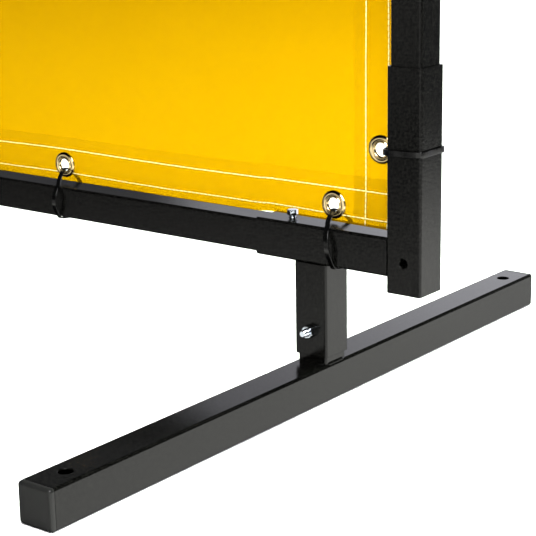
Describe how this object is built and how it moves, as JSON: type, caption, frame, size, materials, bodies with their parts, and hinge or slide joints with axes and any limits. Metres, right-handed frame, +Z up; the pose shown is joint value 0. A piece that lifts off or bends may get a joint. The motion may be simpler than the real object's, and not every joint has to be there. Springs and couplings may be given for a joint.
{
  "type": "welding curtain screen",
  "caption": "Free-standing welding screen: a tinted vinyl curtain laced by cable ties to a telescoping square-tube frame that stands on two long cross feet.",
  "frame": {"origin": "middle of the screen on the floor, half way between the two feet and half way along each foot", "axes": "+X along the screen to its right end as seen from the front, +Y to its back, +Z up"},
  "size_m": [1.7228, 0.6704, 1.85],
  "materials": {
    "tube_paint": "black semi-gloss powder coat with a fine grain",
    "cap_plastic": "moulded black polyethylene, satin",
    "tie_nylon": "black nylon, satin",
    "bright_zinc": "bright zinc plate",
    "vinyl": "tinted golden yellow translucent vinyl, smooth gloss, with nickel-plated grommets"
  },
  "bodies": {
    "rails_and_curtain": {"bottom_rail": "tube_paint", "top_rail": "tube_paint", "curtain": "vinyl", "tie_bottom_1": "tie_nylon", "tie_bottom_2": "tie_nylon", "tie_bottom_3": "tie_nylon", "tie_bottom_4": "tie_nylon", "tie_bottom_5": "tie_nylon", "tie_bottom_6": "tie_nylon", "tie_top_1": "tie_nylon", "tie_top_2": "tie_nylon", "tie_top_3": "tie_nylon", "tie_top_4": "tie_nylon", "tie_top_5": "tie_nylon", "tie_top_6": "tie_nylon"},
    "left_end": {"left_upright": "tube_paint", "left_lower_post_sleeve": "tube_paint", "left_lower_rail_sleeve": "tube_paint", "left_upper_post_sleeve": "tube_paint", "left_upper_rail_sleeve": "tube_paint", "left_post_cap": "cap_plastic", "left_leg": "tube_paint", "left_foot_stub": "tube_paint", "left_leg_bolt": "bright_zinc", "left_leg_nut": "bright_zinc", "left_foot": "tube_paint", "left_foot_front_cap": "cap_plastic", "left_foot_rear_cap": "cap_plastic", "tie_left_1": "tie_nylon", "tie_left_2": "tie_nylon", "tie_left_3": "tie_nylon", "tie_left_4": "tie_nylon", "tie_left_5": "tie_nylon", "tie_left_6": "tie_nylon"},
    "left_lower_screw": {"left_lower_clamp_screw": "bright_zinc"},
    "left_upper_screw": {"left_upper_clamp_screw": "bright_zinc"},
    "right_end": {"right_upright": "tube_paint", "right_lower_post_sleeve": "tube_paint", "right_lower_rail_sleeve": "tube_paint", "right_upper_post_sleeve": "tube_paint", "right_upper_rail_sleeve": "tube_paint", "right_post_cap": "cap_plastic", "right_leg": "tube_paint", "right_foot_stub": "tube_paint", "right_leg_bolt": "bright_zinc", "right_leg_nut": "bright_zinc", "right_foot": "tube_paint", "right_foot_front_cap": "cap_plastic", "right_foot_rear_cap": "cap_plastic", "tie_right_1": "tie_nylon", "tie_right_2": "tie_nylon", "tie_right_3": "tie_nylon", "tie_right_4": "tie_nylon", "tie_right_5": "tie_nylon", "tie_right_6": "tie_nylon"},
    "right_lower_screw": {"right_lower_clamp_screw": "bright_zinc"},
    "right_upper_screw": {"right_upper_clamp_screw": "bright_zinc"}
  },
  "joints": [
    {"name": "left_end_slide", "type": "slide", "parent": "rails_and_curtain", "child": "left_end", "axis": [-1, 0, 0], "range_m": [-0.005, 0]},
    {"name": "left_lower_screw_turn", "type": "hinge", "parent": "left_end", "child": "left_lower_screw", "pos_m": [-0.7255, 0, 0.14847], "axis": [0, 0, 1], "range_deg": [0, 750]},
    {"name": "left_upper_screw_turn", "type": "hinge", "parent": "left_end", "child": "left_upper_screw", "pos_m": [-0.7255, 0, 1.80052], "axis": [0, 0, -1], "range_deg": [0, 750]},
    {"name": "right_end_slide", "type": "slide", "parent": "rails_and_curtain", "child": "right_end", "axis": [1, 0, 0], "range_m": [-0.005, 0]},
    {"name": "right_lower_screw_turn", "type": "hinge", "parent": "right_end", "child": "right_lower_screw", "pos_m": [0.7255, 0, 0.14847], "axis": [0, 0, 1], "range_deg": [0, 750]},
    {"name": "right_upper_screw_turn", "type": "hinge", "parent": "right_end", "child": "right_upper_screw", "pos_m": [0.7255, 0, 1.80052], "axis": [0, 0, -1], "range_deg": [0, 750]}
  ]
}
